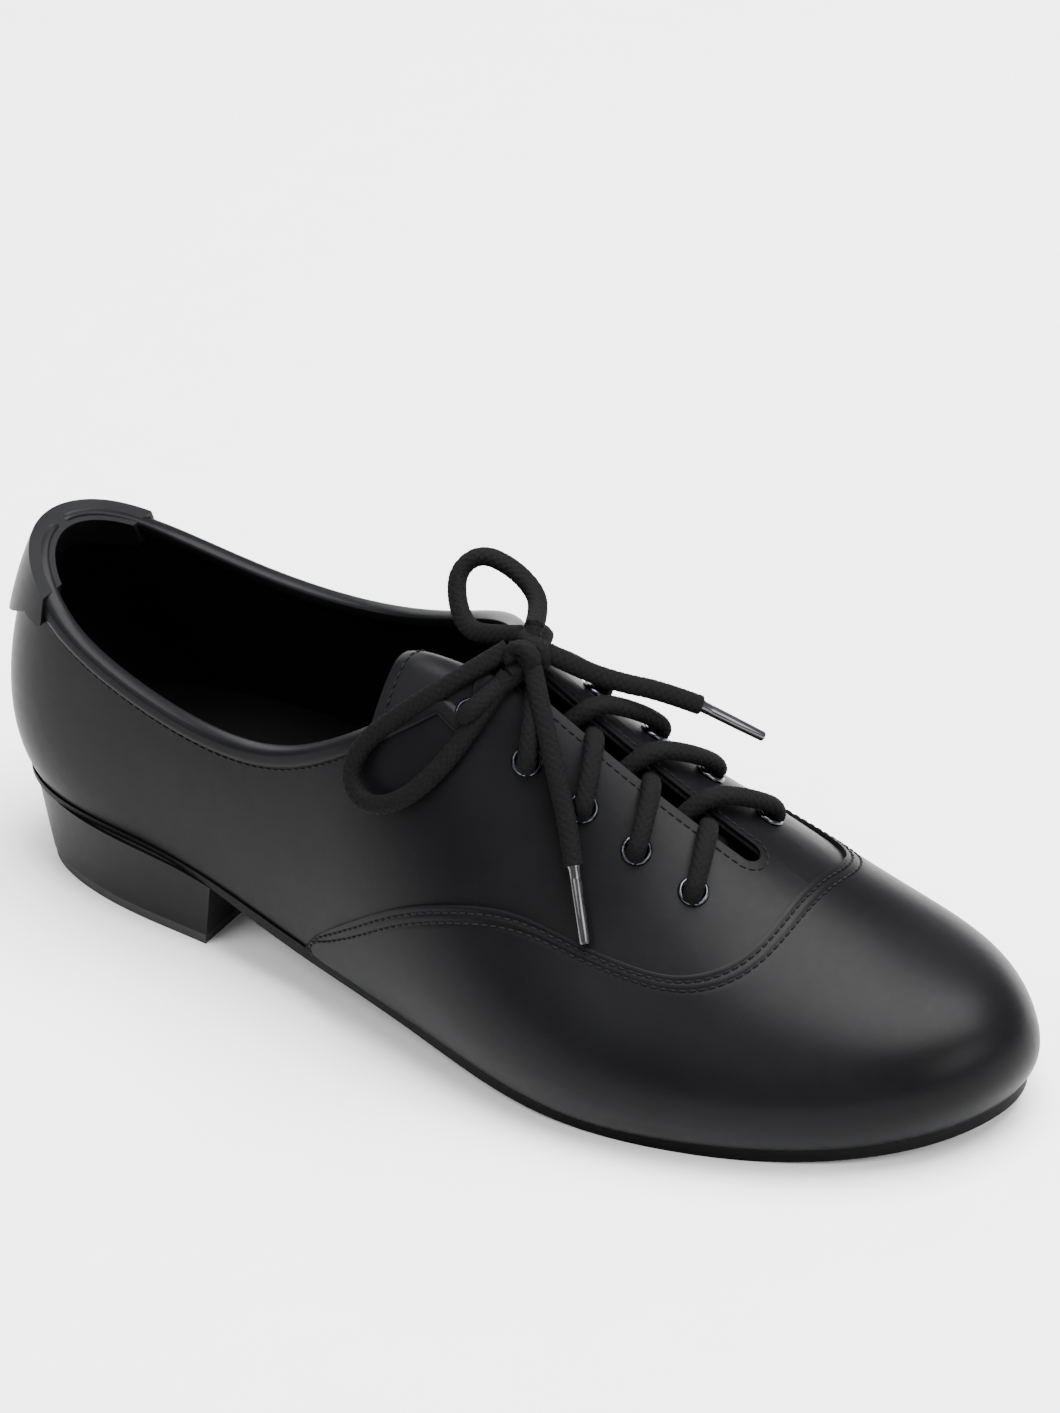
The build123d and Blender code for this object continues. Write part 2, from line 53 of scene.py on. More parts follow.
def fromHeel(x, y, z):
    # a place counted from the back of the heel, in millimetres
    return Vector(((x - shoe["length"] / 2) * mm, (y + shoe["centreY"]) * mm, z * mm))


def along(percent):
    return shoe["length"] * (percent / 100 - 0.5) * mm


# ---- camera, light and floor ----
view = {"place": (0.9657, -1.3325, 1.1544), "aim": (-0.0044, 0.0222, 0.0631), "roll": -4.24, "lens": 208.7}


def addCamera():
    data = bpy.data.cameras.new("camera")
    data.lens = view["lens"]
    data.sensor_width = 36
    data.clip_end = 20
    camera = bpy.data.objects.new("camera", data)
    bpy.context.scene.collection.objects.link(camera)
    look = (Vector(view["aim"]) - Vector(view["place"])).normalized()
    side = look.cross(Vector((0, 0, 1))).normalized()
    top = side.cross(look)
    roll = math.radians(view["roll"])
    right = side * math.cos(roll) + top * math.sin(roll)
    up = top * math.cos(roll) - side * math.sin(roll)
    turn = Matrix((right, up, -look)).transposed().to_4x4()
    camera.matrix_world = Matrix.Translation(view["place"]) @ turn
    bpy.context.scene.camera = camera


def addLight(name, place, size, power, aim=(0, 0, 0.04)):
    data = bpy.data.lights.new(name, "AREA")
    data.shape = "RECTANGLE"
    data.size, data.size_y = size
    data.energy = power
    lamp = bpy.data.objects.new(name, data)
    bpy.context.scene.collection.objects.link(lamp)
    lamp.location = place
    lamp.rotation_euler = (Vector(aim) - Vector(place)).to_track_quat("-Z", "Y").to_euler()


def linear(code):
    # sRGB hex to the linear colour that a shader takes
    parts = [int(code[i:i + 2], 16) / 255 for i in (1, 3, 5)]
    return tuple(c / 12.92 if c <= 0.04045 else ((c + 0.055) / 1.055) ** 2.4 for c in parts) + (1.0,)


def addNode(tree, kind, settings=None, links=None):
    node = tree.nodes.new(kind)
    for key, value in (settings or {}).items():
        if key in node.inputs:
            node.inputs[key].default_value = value
        else:
            setattr(node, key, value)
    for key, source in (links or {}).items():
        tree.links.new(source, node.inputs[key])
    return node


def newMaterial(name):
    material = bpy.data.materials.new(name)
    material.use_nodes = True
    tree = material.node_tree
    return material, tree, tree.nodes["Principled BSDF"]


def setShader(shader, values):
    for key, value in values.items():
        shader.inputs[key].default_value = value


def ramp(tree, source, low, high, lowAt=0.0, highAt=1.0):
    node = addNode(tree, "ShaderNodeValToRGB", links={"Fac": source})
    node.color_ramp.elements[0].position = lowAt
    node.color_ramp.elements[0].color = low
    node.color_ramp.elements[1].position = highAt
    node.color_ramp.elements[1].color = high
    return node.outputs["Color"]


def span(tree, source, low, high):
    node = addNode(tree, "ShaderNodeMapRange", {"To Min": low, "To Max": high}, {"Value": source})
    return node.outputs["Result"]


def leatherMaterial(name, dark, light, roughness, grain=0.55, strength=0.25, coat=0.0, shine=0.055):
    # calf leather, drum dyed and satin finished: fine pores and creases under a thin even shine
    material, tree, shader = newMaterial(name)
    place = addNode(tree, "ShaderNodeTexCoord").outputs["Object"]
    pores = addNode(tree, "ShaderNodeTexVoronoi", {"Scale": 1000 / grain, "feature": "DISTANCE_TO_EDGE"},
                    {"Vector": place}).outputs["Distance"]
    folds = addNode(tree, "ShaderNodeTexNoise", {"Scale": 420.0, "Detail": 5.0, "Roughness": 0.6},
                    {"Vector": place}).outputs["Fac"]
    clouds = addNode(tree, "ShaderNodeTexNoise", {"Scale": 28.0, "Detail": 3.0},
                     {"Vector": place}).outputs["Fac"]
    tree.links.new(ramp(tree, clouds, linear(dark), linear(light), 0.3, 0.75), shader.inputs["Base Color"])
    tree.links.new(span(tree, folds, roughness - 0.05, roughness + 0.07), shader.inputs["Roughness"])
    first = addNode(tree, "ShaderNodeBump", {"Strength": strength, "Distance": 0.00008}, {"Height": pores})
    second = addNode(tree, "ShaderNodeBump", {"Strength": strength * 0.8, "Distance": 0.00012},
                     {"Height": folds, "Normal": first.outputs["Normal"]})
    tree.links.new(second.outputs["Normal"], shader.inputs["Normal"])
    setShader(shader, {"IOR": 1.5, "Coat Weight": coat, "Coat Roughness": 0.3, "Specular IOR Level": shine})
    return material


def clothMaterial(name, dark, light, pitch, roughness=0.9, strength=0.6, shine=0.3):
    # woven cloth: crossing threads that catch the light as a fine check
    material, tree, shader = newMaterial(name)
    place = addNode(tree, "ShaderNodeTexCoord").outputs["Object"]
    warp = addNode(tree, "ShaderNodeTexWave", {"Scale": 1000 / pitch / 6.28, "bands_direction": "X"},
                   {"Vector": place}).outputs["Fac"]
    weft = addNode(tree, "ShaderNodeTexWave", {"Scale": 1000 / pitch / 6.28, "bands_direction": "Y"},
                   {"Vector": place}).outputs["Fac"]
    both = addNode(tree, "ShaderNodeMath", {"operation": "MULTIPLY"})
    tree.links.new(warp, both.inputs[0])
    tree.links.new(weft, both.inputs[1])
    tree.links.new(ramp(tree, both.outputs[0], linear(dark), linear(light)), shader.inputs["Base Color"])
    bump = addNode(tree, "ShaderNodeBump", {"Strength": strength, "Distance": 0.0001},
                   {"Height": both.outputs[0]})
    tree.links.new(bump.outputs["Normal"], shader.inputs["Normal"])
    setShader(shader, {"Roughness": roughness, "Specular IOR Level": shine})
    return material


def speckMaterial(name, dark, light, scale, roughness, metallic=0.0, strength=0.2, coat=0.0):
    # moulded, cut or drawn surface: a fine mottle and small unevenness in its shine
    material, tree, shader = newMaterial(name)
    place = addNode(tree, "ShaderNodeTexCoord").outputs["Object"]
    mottle = addNode(tree, "ShaderNodeTexNoise", {"Scale": scale, "Detail": 5.0},
                     {"Vector": place}).outputs["Fac"]
    tree.links.new(ramp(tree, mottle, linear(dark), linear(light), 0.35, 0.7), shader.inputs["Base Color"])
    tree.links.new(span(tree, mottle, roughness - 0.06, roughness + 0.06), shader.inputs["Roughness"])
    bump = addNode(tree, "ShaderNodeBump", {"Strength": strength, "Distance": 0.0001}, {"Height": mottle})
    tree.links.new(bump.outputs["Normal"], shader.inputs["Normal"])
    setShader(shader, {"Metallic": metallic, "Coat Weight": coat})
    return material


def laceMaterial():
    # braided cotton, dyed and lightly waxed: crossing plaits with a soft, dry sheen
    material, tree, shader = newMaterial("braidedCottonLace")
    where = addNode(tree, "ShaderNodeUVMap", {"uv_map": "braid"}).outputs["UV"]
    plait = addNode(tree, "ShaderNodeTexVoronoi", {"Scale": 1.0}, {"Vector": where}).outputs["Distance"]
    fuzz = addNode(tree, "ShaderNodeTexNoise", {"Scale": 2600.0, "Detail": 4.0},
                   {"Vector": addNode(tree, "ShaderNodeTexCoord").outputs["Object"]}).outputs["Fac"]
    tree.links.new(ramp(tree, fuzz, linear("#020203"), linear("#0b0b0c"), 0.3, 0.8),
                   shader.inputs["Base Color"])
    first = addNode(tree, "ShaderNodeBump", {"Strength": 0.25, "Distance": 0.0002, "invert": True},
                    {"Height": plait})
    second = addNode(tree, "ShaderNodeBump", {"Strength": 0.5, "Distance": 0.00015},
                     {"Height": fuzz, "Normal": first.outputs["Normal"]})
    tree.links.new(second.outputs["Normal"], shader.inputs["Normal"])
    setShader(shader, {"Roughness": 0.85, "Specular IOR Level": 0.1})
    return material


finish = {
    "upper": leatherMaterial("satinCalfLeather", "#060607", "#0e0e10", 0.38, strength=0.2, coat=0.015),
    "binding": leatherMaterial("rolledKidLeather", "#070708", "#101012", 0.36, grain=0.45, strength=0.2,
                               coat=0.015),
    "tongue": leatherMaterial("softTongueLeather", "#08080a", "#121214", 0.44, strength=0.25),
    "lining": leatherMaterial("suededLiningLeather", "#020202", "#050506", 0.85, grain=0.4, strength=0.35,
                              shine=0.03),
    "sole": leatherMaterial("waxedSoleLeather", "#040405", "#0a0a0b", 0.5, grain=0.8, strength=0.3),
    "thread": clothMaterial("bondedNylonThread", "#030303", "#0a0a0b", 0.3, 0.7, 0.4, shine=0.15),
    "cloth": clothMaterial("cottonDrillInterlining", "#111113", "#222225", 0.6),
    "board": speckMaterial("celluloseStiffenerBoard", "#8f8268", "#b09f80", 300, 0.85),
    "cork": speckMaterial("pressedCorkFiller", "#7c5a36", "#a9804f", 500, 0.9, strength=0.6),
    "steel": speckMaterial("springSteelStrip", "#8b8d90", "#b8babd", 700, 0.35, metallic=1.0),
    "core": speckMaterial("mouldedHeelBlock", "#0d0d0d", "#171717", 200, 0.6),
    "rubber": speckMaterial("vulcanisedHeelRubber", "#030303", "#080808", 900, 0.7, strength=0.5),
    "ring": speckMaterial("blackNickelEyelet", "#2c2d30", "#46484c", 900, 0.22, metallic=1.0, strength=0.05),
    "tip": speckMaterial("mouldedAcetateTip", "#101012", "#1b1b1e", 400, 0.2, strength=0.05, coat=0.5),
    "lace": laceMaterial(),
}


def addFloor():
    bpy.ops.mesh.primitive_plane_add(size=8, location=(0, 0, 0))
    floor = bpy.context.object
    floor.name = "floor"
    material, tree, shader = newMaterial("palePaperFloor")
    place = addNode(tree, "ShaderNodeTexCoord").outputs["Object"]
    fibre = addNode(tree, "ShaderNodeTexNoise", {"Scale": 60.0, "Detail": 4.0},
                    {"Vector": place}).outputs["Fac"]
    tree.links.new(ramp(tree, fibre, linear("#f6f6f7"), linear("#fbfbfb")), shader.inputs["Base Color"])
    setShader(shader, {"Roughness": 0.8, "Specular IOR Level": 0.2})
    floor.data.materials.append(material)
    floor.select_set(False)


addCamera()
addLight("keyLight", (-0.5, -1.3, 1.5), (1.3, 1.0), 24)
addLight("topLight", (0.25, 0.35, 1.7), (1.4, 1.4), 135)
addLight("toeLight", (1.5, -0.2, 0.9), (1.0, 0.8), 24, aim=(0.08, 0, 0.04))
addLight("backLight", (-1.1, 1.0, 0.8), (0.9, 0.9), 14)
world = bpy.data.worlds.new("studio")
world.use_nodes = True
world.node_tree.nodes["Background"].inputs["Color"].default_value = (1, 1, 1, 1)
world.node_tree.nodes["Background"].inputs["Strength"].default_value = 0.62
bpy.context.scene.world = world
addFloor()
print("stage set")


# ---- the lasted surface and its rims, read from the frame ----
def surfaceOf(*names):
    points, faces = [], []
    for name in names:
        mesh = nodes[name].data
        start = len(points)
        points += [v.co.copy() for v in mesh.vertices]
        faces += [[start + i for i in p.vertices] for p in mesh.polygons]
    return BVHTree.FromPolygons(points, faces)


# a line through the middle of the foot, for looking outwards from
spine = {"rear": -0.108, "run": 0.22, "rearHeight": 0.052, "toeHeight": 0.017}


def spinePoint(p):
    x = min(max(p[0], spine["rear"]), spine["rear"] + spine["run"])
    t = (x - spine["rear"]) / spine["run"]
    return Vector((x, shoe["centreY"] * mm, spine["rearHeight"] * (1 - t) + spine["toeHeight"] * t))


def outwards(p):
    return (Vector(p) - spinePoint(p)).normalized()


def rims(name, sharp=35, facing=0.3):
    # the sharp outer edges of a node, joined end to end into lines, longest first
    net = bmesh.new()
    net.from_mesh(nodes[name].data)
    bmesh.ops.remove_doubles(net, verts=net.verts, dist=0.000005)
    links = {}
    for e in net.edges:
        if len(e.link_faces) != 2 or e.calc_face_angle() < math.radians(sharp):
            continue
        way = outwards(e.verts[0].co)
        if max(f.normal.dot(way) for f in e.link_faces) < facing:
            continue
        a, b = e.verts
        links.setdefault(a, []).append(b)
        links.setdefault(b, []).append(a)
    lines = []
    while links:
        ends = [v for v, others in links.items() if len(others) == 1]
        at = ends[0] if ends else next(iter(links))
        line = [at.co.copy()]
        while at in links:
            after = links[at].pop(0)
            if not links[at]:
                del links[at]
            links[after].remove(at)
            if not links[after]:
                del links[after]
            at = after
            line.append(at.co.copy())
        line = np.array([tuple(p) for p in line])
        lines.append(evenly(line, int(lengthOf(line) / (0.5 * mm)) + 2))
    net.free()
    return sorted(lines, key=lengthOf, reverse=True)


def lengthOf(line):
    return float(np.linalg.norm(np.diff(line, axis=0), axis=1).sum())


def stepsAlong(line):
    return np.concatenate([[0], np.cumsum(np.linalg.norm(np.diff(line, axis=0), axis=1))])


def unit(rows):
    return rows / np.linalg.norm(rows, axis=1, keepdims=True)


def evenly(line, count):
    steps = stepsAlong(line)
    wanted = np.linspace(0, steps[-1], count)
    return np.stack([np.interp(wanted, steps, line[:, k]) for k in range(line.shape[1])], axis=1)


def throughPoints(points, count):
    # Catmull-Rom through the points, evenly stepped by length
    p = np.array(points, float)
    p = np.vstack([2 * p[0] - p[1], p, 2 * p[-1] - p[-2]])
    out = []
    for a, b, c, d in zip(p, p[1:], p[2:], p[3:]):
        for t in np.linspace(0, 1, 16, endpoint=False):
            out.append(0.5 * (2 * b + (c - a) * t + (2 * a - 5 * b + 4 * c - d) * t * t
                              + (3 * b - a - 3 * c + d) * t ** 3))
    out.append(p[-2])
    return evenly(np.array(out), count)


def relaxed(line, passes):
    line = line.copy()
    for _ in range(passes):
        line[1:-1] = 0.5 * line[1:-1] + 0.25 * (line[2:] + line[:-2])
    return line


def aroundBy(points, centre, bins, start):
    # the outermost rim point in each direction from a centre, in order of turn from start
    flat = points[:, :2] - centre
    turn = (np.degrees(np.arctan2(flat[:, 1], flat[:, 0])) - start) % 360
    order = np.argsort(turn)
    points, turn, far = points[order], turn[order], np.linalg.norm(flat[order], axis=1)
    out = []
    for a in np.linspace(0, 360, bins + 1)[:-1]:
        inside = (turn >= a) & (turn < a + 360 / bins)
        if inside.any():
            pick = np.flatnonzero(inside)
            out.append(points[pick[np.argmax(far[pick])]])
    return np.array(out)


quarterNodes = ("quarter_outer", "quarter_inner")
skins = {"vamp": surfaceOf("vamp"), "quarters": surfaceOf(*quarterNodes), "tongue": surfaceOf("tongue"),
         "sole": surfaceOf("outsole")}
soleLow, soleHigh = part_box("outsole")
clearOfNails = 4.3  # beside the middle line


def soleTop(x, y=(shoe["centreY"] + clearOfNails) * mm):
    x = min(max(x, soleLow[0] + 3 * mm), soleHigh[0] - 3 * mm)
    return skins["sole"].ray_cast(Vector((x, y, 0.2)), Vector((0, 0, -1)))[0].z


def overFloor(points):
    return np.array([p[2] - soleTop(p[0]) for p in points])


def nearest(tree, points):
    spots, ways = [], []
    for p in points:
        spot, way, _, _ = tree.find_nearest(Vector(p))
        if way.dot(outwards(p)) < 0:
            way = -way
        spots.append(tuple(spot))
        ways.append(tuple(way))
    return np.array(spots), np.array(ways)


def inFrom(line, skin, distance, side):
    # the line moved along the leather, to the left of its way for side 1
    tangent = unit(np.gradient(line, axis=0))
    spot, normal = nearest(skin, line)
    ahead = np.cross(normal, tangent) * side
    spot, normal = nearest(skin, spot + ahead * distance * mm)
    return relaxed(spot, 2), normal


# ---- vamp: one quad net from the feather line up to the seam ----
vampSize = {"columns": 241, "rows": 44, "thickness": 1.05, "edge": 0.35, "centre": (20.0, 5.0),
            "seamOver": 0.8, "seamRear": 86.2, "featherUnder": 2.5, "featherOver": -1, "reach": 160,
            "strayed": 45}
# how deep each row beside the edge is pressed in, or raised where minus; the deep ones carry stitches
pressed = {1.8: 1.0, 4.2: 1.0, 3.0: -0.5, 0.7: -0.4}
pressDepth = 0.14
stitchedRows = (1.8, 4.2)
seamRows = np.array([0, 0.7, 1.3, 1.8, 2.3, 3.0, 3.7, 4.2, 4.7, 5.6, 7.0])  # millimetres down from the edge
vampRim = np.vstack(rims("vamp"))
floorGap = overFloor(vampRim)
vampCentre = np.array(vampSize["centre"]) * mm
onSeam = (floorGap > vampSize["seamOver"] * mm) & (vampRim[:, 0] < vampSize["seamRear"] * mm)
onFeather = (floorGap < vampSize["featherUnder"] * mm) & (floorGap > vampSize["featherOver"] * mm)
seamRim = aroundBy(vampRim[onSeam], vampCentre, 300, 180)
featherRim = aroundBy(vampRim[onFeather], vampCentre, 240, 180)
seamRim = relaxed(evenly(seamRim, vampSize["columns"]), 3)
featherRim = relaxed(evenly(featherRim, vampSize["columns"]), 3)
print("vamp rims read")


def lastedNet(low, high, skin, fine, count):
    # columns of points laid on the lasted skin, with fine rows beside the high edge
    out = []
    for a, b in zip(low, high):
        column = []
        for share in np.linspace(0, 1, 49):
            p = Vector(a).lerp(Vector(b), share)
            centre = spinePoint(p)
            way = (p - centre).normalized()
            hit = skin.ray_cast(centre + way * vampSize["reach"] * mm, -way)[0]
            if hit is None or share in (0, 1) or (hit - p).length > vampSize["strayed"] * mm:
                hit = p
            column.append(tuple(hit))
        column = np.array(column)
        steps = stepsAlong(column)
        near = fine * mm * min(1.0, steps[-1] * 0.6 / (fine[-1] * mm))
        wanted = np.concatenate([np.linspace(0, steps[-1] - near[-1], count - len(fine), endpoint=False),
                                 (steps[-1] - near)[::-1]])
        out.append(np.stack([np.interp(wanted, steps, column[:, k]) for k in range(3)], axis=1))
    net = np.stack(out, axis=1)
    for _ in range(4):
        net[1:-1, 1:-1] = 0.5 * net[1:-1, 1:-1] + 0.125 * (net[1:-1, 2:] + net[1:-1, :-2] + net[2:, 1:-1]
                                                          + net[:-2, 1:-1])
    return net


def netNormals(net):
    normal = np.cross(np.gradient(net, axis=1), np.gradient(net, axis=0))
    normal /= np.linalg.norm(normal, axis=2, keepdims=True) + 1e-12
    middle = np.array([[tuple(spinePoint(p)) for p in row] for row in net])
    return normal * np.sign(((net - middle) * normal).sum(axis=2, keepdims=True))


def meshFromNet(name, net):
    bpy.ops.mesh.primitive_grid_add(x_subdivisions=net.shape[1] - 1, y_subdivisions=net.shape[0] - 1, size=1)
    piece = bpy.context.object
    piece.name = piece.data.name = name
    piece.data.vertices.foreach_set("co", net.reshape(-1))
    piece.data.update()
    bpy.ops.object.mode_set(mode="EDIT")
    bpy.ops.mesh.select_all(action="SELECT")
    bpy.ops.mesh.remove_doubles(threshold=0.00002)
    bpy.ops.object.mode_set(mode="OBJECT")
    total = sum((p.center - spinePoint(p.center)).dot(p.normal) * p.area for p in piece.data.polygons)
    if total < 0:
        piece.data.flip_normals()
    return piece


def applyModifier(piece, kind, **settings):
    modifier = piece.modifiers.new(kind.lower(), kind)
    for key, value in settings.items():
        setattr(modifier, key, value)
    bpy.context.view_layer.objects.active = piece
    bpy.ops.object.modifier_apply(modifier=modifier.name)


def finishPiece(piece, material, slot, *replaced, sharp=40):
    piece.data.materials.clear()
    piece.data.materials.append(material)
    bpy.ops.object.select_all(action="DESELECT")
    piece.select_set(True)
    bpy.context.view_layer.objects.active = piece
    bpy.ops.object.shade_smooth_by_angle(angle=math.radians(sharp))
    piece.select_set(False)
    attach(piece, "root")
    if replaced:
        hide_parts(*replaced)


vampNet = lastedNet(featherRim, seamRim, skins["vamp"], seamRows, vampSize["rows"])
vampWays = netNormals(vampNet)
rowAt = {d: vampNet.shape[0] - 1 - i for i, d in enumerate(seamRows)}
stitchLines = [(vampNet[rowAt[d]].copy(), vampWays[rowAt[d]]) for d in stitchedRows]
for distance, depth in pressed.items():
    vampNet[rowAt[distance]] -= vampWays[rowAt[distance]] * pressDepth * depth * mm
vamp = meshFromNet("vampLeather", vampNet)
applyModifier(vamp, "SOLIDIFY", thickness=vampSize["thickness"] * mm, offset=-1.0, use_even_offset=False)
applyModifier(vamp, "BEVEL", width=vampSize["edge"] * mm, segments=2, limit_method="ANGLE",
              angle_limit=math.radians(50))
finishPiece(vamp, finish["upper"], "black_leather", "vamp")
print("vamp lasted", len(vamp.data.polygons))


# ---- carried-over leather, board, cork and rubber ----
carried = {
    "collar_binding": "binding", "heel_tab": "upper", "tongue": "tongue", "tongue_lining": "lining",
    "heel_cover": "upper", "outsole": "sole", "heel_top_piece": "rubber", "heel_block": "core",
    "heel_nails": "steel", "shank": "steel", "bottom_filler": "cork", "insole_board": "board",
    "sock_lining": "lining", "vamp_lining": "lining", "quarter_lining_outer": "lining",
    "quarter_lining_inner": "lining", "interlining": "cloth", "vamp_backing": "cloth",
    "facing_stays": "cloth", "heel_counter": "board", "toe_puff": "board",
}
for name in quarterNodes:
    carried[name] = "upper"
for name, kind in carried.items():
    nodes[name].data.materials.clear()
    nodes[name].data.materials.append(finish[kind])
print("nodes dressed")


# ---- sweeps: braided lace ----
def sweptMesh(name, line, ups, outline, braid):
    # a plaited tube of the outline (pairs of across, up in millimetres) along the line
    tangent = unit(np.gradient(line, axis=0))
    up = unit(ups - (ups * tangent).sum(axis=1, keepdims=True) * tangent)
    across = np.cross(tangent, up)
    outline = np.array(outline)
    around = len(outline)
    run = stepsAlong(line) / mm
    turn = np.arange(around) / around * braid["strands"]
    points = []
    for i in range(len(line)):
        step = run[i] / braid["pitch"]
        lift = np.maximum(np.cos(np.pi * (turn + step)) ** 2, np.cos(np.pi * (turn - step)) ** 2)
        scale = 1 + braid["relief"] * (lift - 0.75)
        points.append(line[i] + (outline[:, :1] * across[i] + outline[:, 1:] * up[i]) * scale[:, None] * mm)
    points = np.concatenate(points)
    rings = len(line)
    faces = []
    for i in range(rings - 1):
        for k in range(around):
            a, b = i * around + k, i * around + (k + 1) % around
            faces.append((a, b, b + around, a + around))
    faces.append(tuple(range(around))[::-1])
    faces.append(tuple((rings - 1) * around + k for k in range(around)))
    mesh = bpy.data.meshes.new(name)
    mesh.from_pydata([tuple(p) for p in points], [], faces)
    layer = mesh.uv_layers.new(name="braid")
    for polygon in mesh.polygons:
        for loop, vertex in zip(polygon.loop_indices, polygon.vertices):
            ring, k = divmod(vertex, around)
            share = k / around
            if k == 0 and any(v % around > around / 2 for v in polygon.vertices):
                share = 1.0
            layer.data[loop].uv = (share * braid["cellsRound"], run[ring] / braid["cellLength"])
    piece = bpy.data.objects.new(name, mesh)
    bpy.context.scene.collection.objects.link(piece)
    turnOutwards(piece)
    return piece


def turnOutwards(piece):
    bpy.ops.object.select_all(action="DESELECT")
    piece.select_set(True)
    bpy.context.view_layer.objects.active = piece
    bpy.ops.object.mode_set(mode="EDIT")
    bpy.ops.mesh.select_all(action="SELECT")
    bpy.ops.mesh.normals_make_consistent(inside=False)
    bpy.ops.object.mode_set(mode="OBJECT")
    piece.select_set(False)


def pieceFrom(name, verts, faces):
    mesh = bpy.data.meshes.new(name)
    mesh.from_pydata(verts, [], faces)
    piece = bpy.data.objects.new(name, mesh)
    bpy.context.scene.collection.objects.link(piece)
    turnOutwards(piece)
    return piece


def oval(across, up, count, squareness=2.3):
    out = []
    for a in np.linspace(0, 2 * math.pi, count, endpoint=False):
        c, s = math.cos(a), math.sin(a)
        out.append((across / 2 * math.copysign(abs(c) ** (2 / squareness), c),
                    up / 2 * math.copysign(abs(s) ** (2 / squareness), s)))
    return out


def carriedUp(line, first):
    # an up direction carried along a line without twist
    tangent = unit(np.gradient(line, axis=0))
    up = np.array(first, float)
    out = []
    for t in tangent:
        up = up - up.dot(t) * t
        up /= np.linalg.norm(up)
        out.append(up.copy())
    return np.array(out)


def joined(name, pieces):
    bpy.ops.object.select_all(action="DESELECT")
    for piece in pieces:
        piece.select_set(True)
    bpy.context.view_layer.objects.active = pieces[0]
    bpy.ops.object.join()
    piece = bpy.context.object
    piece.name = piece.data.name = name
    piece.select_set(False)
    return piece


# ---- stitches ----
stitchSize = {"pitch": 2.35, "length": 1.85, "radius": 0.27, "sink": 0.1}


def stitchRow(lines):
    # short rounded thread lengths laid end to end along lines of points and normals
    pitch = stitchSize["pitch"]
    verts, faces = [], []
    # place along the stitch, size and lift of each ring of points
    shares = ((-0.5, 0.35, -0.55), (-0.36, 0.9, 0.0), (0.0, 1.0, 0.12), (0.36, 0.9, 0.0), (0.5, 0.35, -0.55))
    for line, normals in lines:
        steps = stepsAlong(line) / mm
        for at in np.arange(pitch * 0.6, steps[-1] - pitch * 0.5, pitch):
            p = np.array([np.interp(at, steps, line[:, k]) for k in range(3)])
            q = np.array([np.interp(at + 0.4, steps, line[:, k]) for k in range(3)])
            n = np.array([np.interp(at, steps, normals[:, k]) for k in range(3)])
            t = (q - p) / np.linalg.norm(q - p)
            n = n - n.dot(t) * t
            n /= np.linalg.norm(n)
            side = np.cross(t, n)
            start = len(verts)
            for place, size, lift in shares:
                rise = lift * stitchSize["radius"] + stitchSize["sink"]
                centre = p + t * place * stitchSize["length"] * mm + n * rise * mm
                for a in range(6):
                    w = a * math.pi / 3
                    verts.append(tuple(centre + (side * math.cos(w) + n * math.sin(w) * 0.8)
                                       * stitchSize["radius"] * size * mm))
            for ring in range(len(shares) - 1):
                for a in range(6):
                    i, j = start + ring * 6 + a, start + ring * 6 + (a + 1) % 6
                    faces.append((i, j, j + 6, i + 6))
            faces.append(tuple(start + a for a in range(6))[::-1])
            faces.append(tuple(start + (len(shares) - 1) * 6 + a for a in range(6)))
    return verts, faces


def addStitches(name, lines):
    piece = pieceFrom(name, *stitchRow(lines))
    finishPiece(piece, finish["thread"], "lace_cotton", sharp=80)


def downOn(skin, x, y):
    hit, way, _, _ = skin.ray_cast(Vector((x, y, 0.2)), Vector((0, 0, -1)))
    return hit, way


# the slit as the frame has it, in millimetres, its end and its stitches' rear in percent of the length
slit = {"end": 75.2, "slope": 0.12, "endY": 2.5, "width": 5.6, "rear": 52.4}


def slitMiddle(x):
    return slit["endY"] * mm + slit["slope"] * (x - along(slit["end"]))


def slitRow(gap):
    # along one edge of the slit, round its end and back up the other edge, gap outside it
    out = []
    half = (slit["width"] / 2 + gap) * mm
    turnX = along(slit["end"]) - slit["width"] / 2 * mm
    for x in np.linspace(along(slit["rear"]), turnX, 60):
        out.append((x, slitMiddle(x) - half))
    for a in np.linspace(-90, 90, 16)[1:-1]:
        out.append((turnX + half * math.cos(math.radians(a)),
                    slitMiddle(turnX) + half * math.sin(math.radians(a))))
    for x in np.linspace(turnX, along(slit["rear"]), 60):
        out.append((x, slitMiddle(x) + half))
    hits = [downOn(skins["quarters"], x, y) for x, y in out]
    hits = [(h, n) for h, n in hits if h is not None]
    return np.array([tuple(h) for h, _ in hits]), np.array([tuple(n) for _, n in hits])


topline = {"centre": (-60.0, 6.5), "start": -9.5, "overSole": 37, "front": 9, "drop": 1.6, "rowIn": 2.2}
quarterRim = np.vstack([r for n in quarterNodes for r in rims(n)])
isHigh = overFloor(quarterRim) > topline["overSole"] * mm
highUp = quarterRim[isHigh & (quarterRim[:, 0] < topline["front"] * mm)]
topRim = aroundBy(highUp, np.array(topline["centre"]) * mm, 260, topline["start"])
topRim = relaxed(evenly(topRim, 400), 3)
lowered, _ = nearest(skins["quarters"], topRim - np.array((0, 0, topline["drop"] * mm)))
bindingRow, bindingWays = inFrom(lowered, skins["quarters"], topline["rowIn"], -1)

# ---- collar binding: a strip rolled over the topline ----
roll = {"lift": 1.0, "deep": 4.6, "bulge": 0.55, "face": 1.1, "low": 0.35, "slack": 0.05, "drop": 1.5}


